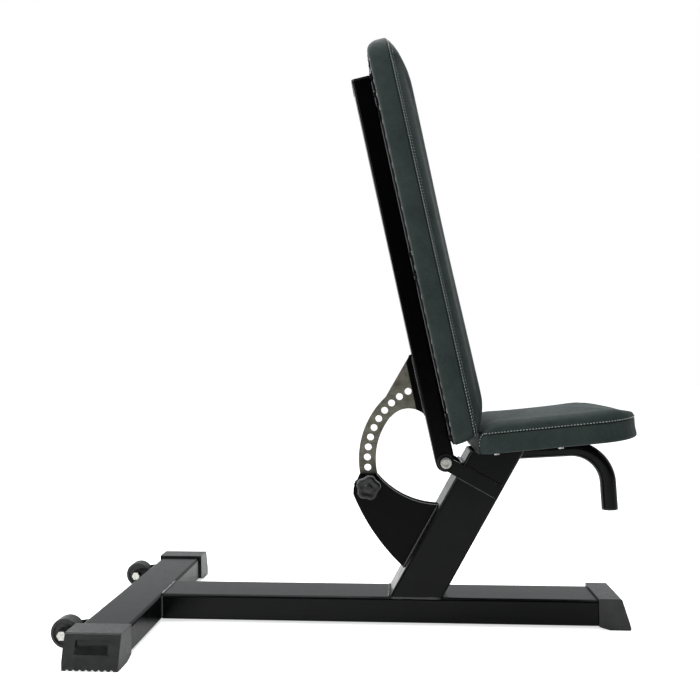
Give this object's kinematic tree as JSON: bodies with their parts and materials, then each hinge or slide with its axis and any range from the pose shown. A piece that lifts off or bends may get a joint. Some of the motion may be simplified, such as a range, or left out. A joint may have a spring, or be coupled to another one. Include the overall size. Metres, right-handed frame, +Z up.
{
  "type": "adjustable weight bench",
  "caption": "Weight bench with a padded seat, a padded back that tilts on a pivot and locks on an arc plate with a pull pin, a T-shaped base, a front handle and transport wheels.",
  "frame": {"origin": "on the floor, under the centre of the overall box, in the bench's centre plane", "axes": "+X points from the wheels to the seat's front, +Y to the left of a person sitting with their back on the pad and facing +X, +Z up"},
  "size_m": [1.0801, 0.5458, 1.1336],
  "materials": {
    "frame_paint": "gloss powder coat",
    "cap_rubber": "satin moulded",
    "wheel_rubber": "satin moulded",
    "zinc_steel": "zinc plated",
    "arc_steel": "brushed",
    "dark_steel": "black oxide",
    "black_plastic": "matte moulded",
    "board_wood": "plywood",
    "pad_vinyl": "grained vinyl"
  },
  "bodies": {
    "base": {"main_beam": "frame_paint", "cross_tube": "frame_paint", "foot_cap_front": "cap_rubber", "foot_cap_left": "cap_rubber", "foot_cap_right": "cap_rubber", "post": "frame_paint", "gusset_left": "frame_paint", "gusset_right": "frame_paint", "pivot_arm_left": "frame_paint", "pivot_arm_right": "frame_paint", "pivot_web": "frame_paint", "pivot_bolt": "zinc_steel", "pivot_washers": "zinc_steel", "pivot_nut": "zinc_steel", "selector_housing": "dark_steel", "housing_nut": "dark_steel", "selector_spring": "zinc_steel", "seat_plate_rear": "frame_paint", "seat_plate_front": "frame_paint", "seat_screws": "zinc_steel", "seat_board": "board_wood", "seat_pad": "pad_vinyl", "handle_tube": "frame_paint", "handle_plug": "black_plastic", "wheel_bracket_left": "frame_paint", "wheel_bracket_right": "frame_paint", "wheel_axle_left": "zinc_steel", "wheel_axle_right": "zinc_steel", "wheel_axle_nuts": "zinc_steel"},
    "wheel_left": {"wheel_left": "wheel_rubber"},
    "wheel_right": {"wheel_right": "wheel_rubber"},
    "selector": {"selector_pin": "zinc_steel", "pin_collar": "zinc_steel", "selector_knob": "black_plastic"},
    "back": {"back_tube": "frame_paint", "back_tube_cap": "black_plastic", "pivot_sleeve": "dark_steel", "pivot_bush_left": "black_plastic", "pivot_bush_right": "black_plastic", "selector_arc": "arc_steel", "arc_mount_left": "frame_paint", "arc_mount_right": "frame_paint", "pad_bracket_top": "frame_paint", "pad_bracket_middle": "frame_paint", "pad_bracket_low": "frame_paint", "pad_bolts": "dark_steel", "back_board": "board_wood", "back_pad": "pad_vinyl"}
  },
  "joints": [
    {"name": "back_tilt", "type": "hinge", "parent": "base", "child": "back", "pos_m": [0.188, 0, 0.3165], "axis": [0, -1, 0], "range_deg": [0, 78.3]},
    {"name": "selector_pin_slide", "type": "slide", "parent": "base", "child": "selector", "axis": [0, 1, 0], "range_m": [0, 0.018]},
    {"name": "wheel_left_spin", "type": "hinge", "parent": "base", "child": "wheel_left", "pos_m": [-0.5075, 0.174, 0.029], "axis": [0, 1, 0], "continuous": true},
    {"name": "wheel_right_spin", "type": "hinge", "parent": "base", "child": "wheel_right", "pos_m": [-0.5075, -0.174, 0.029], "axis": [0, 1, 0], "continuous": true}
  ]
}
